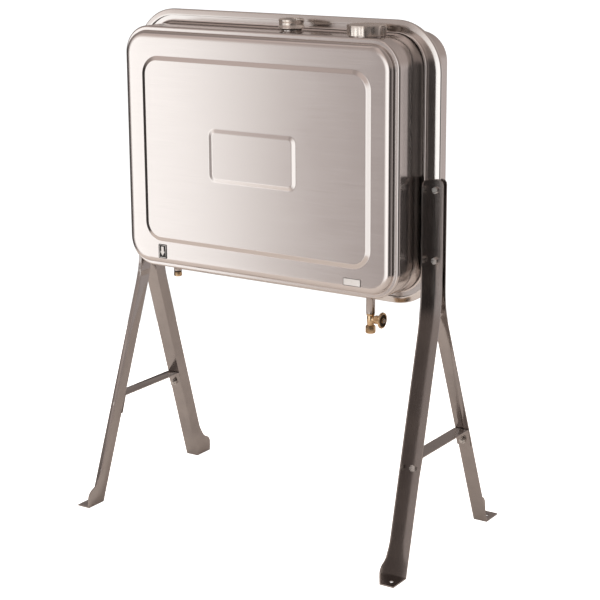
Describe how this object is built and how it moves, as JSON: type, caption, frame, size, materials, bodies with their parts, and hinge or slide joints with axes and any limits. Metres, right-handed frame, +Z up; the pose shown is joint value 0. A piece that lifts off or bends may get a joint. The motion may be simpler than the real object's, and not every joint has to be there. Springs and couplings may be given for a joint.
{
  "type": "slim stainless water tank on stand",
  "caption": "Slim pressed stainless water tank for a handwash station, on a bent angle-iron A-frame, with screw filler, float gauge, drain plug and brass stop valve",
  "frame": {"origin": "on the floor under the middle of the stand", "axes": "+X to the right seen from the front, +Y from the front to the back, +Z up"},
  "size_m": [0.842, 0.4706, 1.13],
  "materials": {
    "shell_steel": "brushed stainless sheet",
    "rim_steel": "bright stainless sheet",
    "leg_steel": "dull angle iron",
    "zinc": "zinc plated",
    "chrome": "polished",
    "brass": "turned brass",
    "rubber": "matt",
    "black_plastic": "smooth",
    "white_plastic": "smooth",
    "window": "clear"
  },
  "bodies": {
    "tank": {"front_shell": "shell_steel", "rear_shell": "shell_steel", "rim": "rim_steel", "filler_neck": "shell_steel", "strainer_basket": "shell_steel", "gauge_socket": "shell_steel", "gauge_gasket": "rubber", "gauge_body": "chrome", "gauge_dial": "black_plastic", "gauge_window": "window", "gauge_arm_pin": "zinc", "outlet_stub": "shell_steel", "valve_body": "brass", "valve_bonnet": "brass", "drain_socket": "shell_steel", "arrow_label": "black_plastic", "name_plate": "white_plastic", "leg_front_right": "leg_steel", "leg_rear_right": "leg_steel", "brace_right": "leg_steel", "rim_bolt_lower_right": "zinc", "rim_nut_lower_right": "zinc", "rim_bolt_upper_right": "zinc", "rim_nut_upper_right": "zinc", "brace_bolt_front_right": "zinc", "brace_nut_front_right": "zinc", "brace_bolt_rear_right": "zinc", "brace_nut_rear_right": "zinc", "leg_front_left": "leg_steel", "leg_rear_left": "leg_steel", "brace_left": "leg_steel", "rim_bolt_lower_left": "zinc", "rim_nut_lower_left": "zinc", "rim_bolt_upper_left": "zinc", "rim_nut_upper_left": "zinc", "brace_bolt_front_left": "zinc", "brace_nut_front_left": "zinc", "brace_bolt_rear_left": "zinc", "brace_nut_rear_left": "zinc"},
    "filler_gasket": {"filler_gasket": "rubber"},
    "filler_cap": {"filler_cap": "chrome"},
    "float": {"float_arm": "zinc", "float": "white_plastic"},
    "gauge_pointer": {"gauge_pointer": "white_plastic"},
    "valve_piston": {"valve_piston": "brass"},
    "handwheel": {"valve_spindle": "brass", "handwheel": "brass", "handwheel_nut": "zinc"},
    "union_nut": {"union_nut": "brass"},
    "drain_gasket": {"drain_gasket": "rubber"},
    "drain_plug": {"drain_plug": "brass"}
  },
  "joints": [
    {"name": "filler_cap_lift", "type": "slide", "parent": "tank", "child": "filler_gasket", "axis": [0, 0, 1], "range_m": [0, 0.012]},
    {"name": "filler_cap_turn", "type": "hinge", "parent": "filler_gasket", "child": "filler_cap", "pos_m": [0.248, -0.06, 1.11], "axis": [0, 0, 1], "range_deg": [0, 540]},
    {"name": "float_arm_swing", "type": "hinge", "parent": "tank", "child": "float", "pos_m": [0.065, -0.06, 0.831], "axis": [0, 1, 0], "range_deg": [0, 135]},
    {"name": "gauge_pointer_turn", "type": "hinge", "parent": "tank", "child": "gauge_pointer", "pos_m": [0.065, -0.06, 1.115], "axis": [0, 0, -1], "range_deg": [0, 202.5]},
    {"name": "valve_piston_slide", "type": "slide", "parent": "tank", "child": "valve_piston", "axis": [1, 0, 0], "range_m": [0, 0.01]},
    {"name": "handwheel_turn", "type": "hinge", "parent": "valve_piston", "child": "handwheel", "pos_m": [0.288, -0.06, 0.506], "axis": [1, 0, 0], "range_deg": [0, 1800]},
    {"name": "union_nut_turn", "type": "hinge", "parent": "tank", "child": "union_nut", "pos_m": [0.26, -0.06, 0.483], "axis": [0, 0, 1], "continuous": true},
    {"name": "drain_plug_drop", "type": "slide", "parent": "tank", "child": "drain_gasket", "axis": [0, 0, -1], "range_m": [0, 0.012]},
    {"name": "drain_plug_turn", "type": "hinge", "parent": "drain_gasket", "child": "drain_plug", "pos_m": [-0.249, -0.06, 0.54], "axis": [0, 0, -1], "range_deg": [0, 2160]}
  ],
  "couplings": [
    {"joint": "filler_cap_lift", "follows": "filler_cap_turn", "m_per_rad": 0.0012732},
    {"joint": "gauge_pointer_turn", "follows": "float_arm_swing", "ratio": 1.5},
    {"joint": "valve_piston_slide", "follows": "handwheel_turn", "m_per_rad": 0.00031831},
    {"joint": "drain_plug_turn", "follows": "drain_plug_drop", "rad_per_m": 3141.6}
  ]
}
